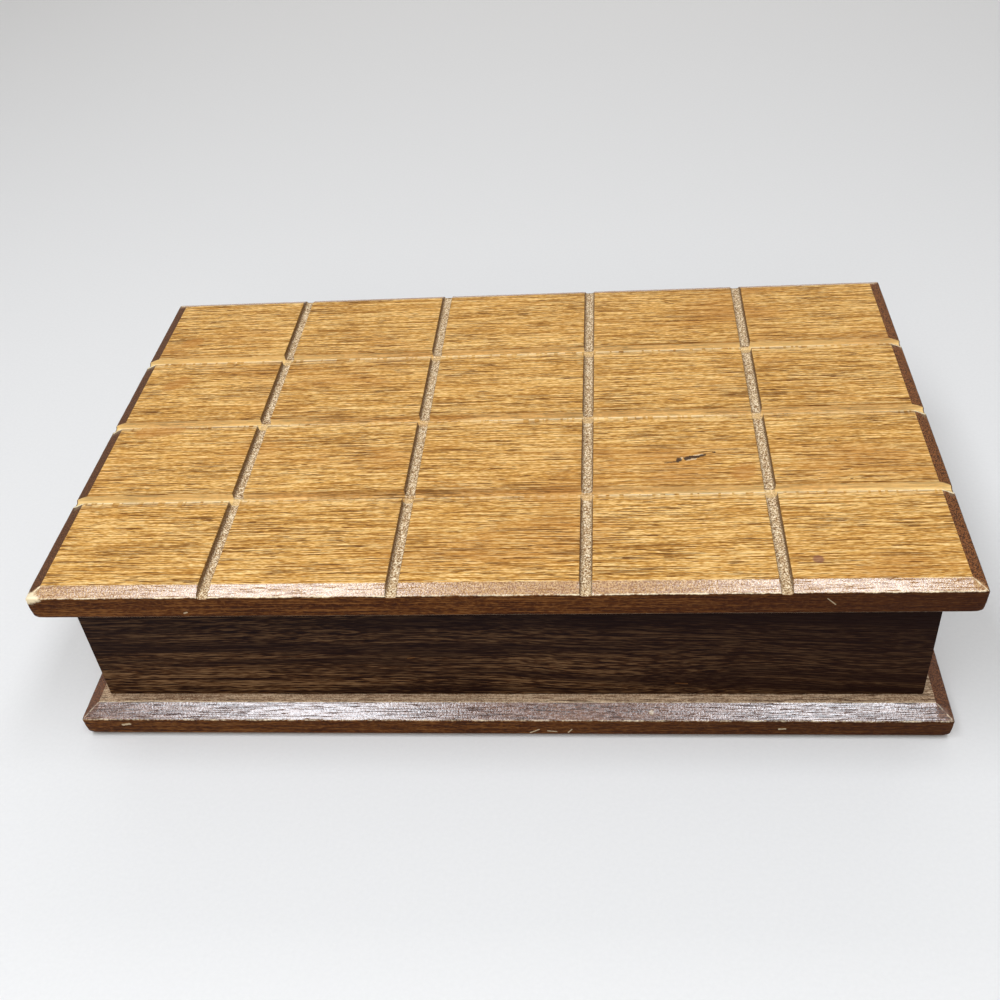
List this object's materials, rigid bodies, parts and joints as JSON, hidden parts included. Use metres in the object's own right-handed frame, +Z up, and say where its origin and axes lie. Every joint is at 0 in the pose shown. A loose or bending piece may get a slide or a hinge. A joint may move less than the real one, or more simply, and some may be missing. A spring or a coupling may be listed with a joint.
{
  "type": "jewelry box",
  "caption": "Low wooden jewelry box with a hinged overhanging lid grooved into tiles, mitred walls on a chamfered base, and felt-lined compartments with a ring cushion.",
  "frame": {"origin": "centre of the underside, on the surface that the box stands on", "axes": "+X to the right along the box's length, +Y towards the hinged back, +Z up"},
  "size_m": [0.3, 0.183, 0.071],
  "materials": {
    "lid_wood": "honey brown stained hardwood with open pores under satin lacquer",
    "wall_wood": "very dark brown stained hardwood, satin",
    "base_wood": "dark reddish brown stained hardwood, semi-gloss lacquer",
    "brass": "aged satin brass",
    "steel": "plain steel",
    "lining_felt": "deep green felt",
    "base_felt": "dark green felt sheet"
  },
  "bodies": {
    "box": {"wall_front": "wall_wood", "wall_back": "wall_wood", "wall_left": "wall_wood", "wall_right": "wall_wood", "base_board": "base_wood", "base_felt": "base_felt", "floor_pad": "lining_felt", "lining_front": "lining_felt", "lining_back": "lining_felt", "lining_left": "lining_felt", "lining_right": "lining_felt", "long_divider": "lining_felt", "cross_divider_left": "lining_felt", "cross_divider_right": "lining_felt", "ring_cushion": "lining_felt", "base_screw_1": "steel", "base_screw_2": "steel", "base_screw_3": "steel", "base_screw_4": "steel", "base_screw_5": "steel", "base_screw_6": "steel", "base_screw_7": "steel", "base_screw_8": "steel", "hinge_left_box_leaf": "brass", "hinge_left_pin": "steel", "hinge_left_box_screw_1": "brass", "hinge_left_box_screw_2": "brass", "hinge_left_box_screw_3": "brass", "hinge_right_box_leaf": "brass", "hinge_right_pin": "steel", "hinge_right_box_screw_1": "brass", "hinge_right_box_screw_2": "brass", "hinge_right_box_screw_3": "brass"},
    "lid": {"lid_board": "lid_wood", "lid_lining": "lining_felt", "hinge_left_lid_leaf": "brass", "hinge_left_lid_screw_1": "brass", "hinge_left_lid_screw_2": "brass", "hinge_left_lid_screw_3": "brass", "hinge_right_lid_leaf": "brass", "hinge_right_lid_screw_1": "brass", "hinge_right_lid_screw_2": "brass", "hinge_right_lid_screw_3": "brass"}
  },
  "joints": [
    {"name": "lid_hinge", "type": "hinge", "parent": "box", "child": "lid", "pos_m": [0, 0.085, 0.05995], "axis": [-1, 0, 0], "range_deg": [0, 118]}
  ]
}
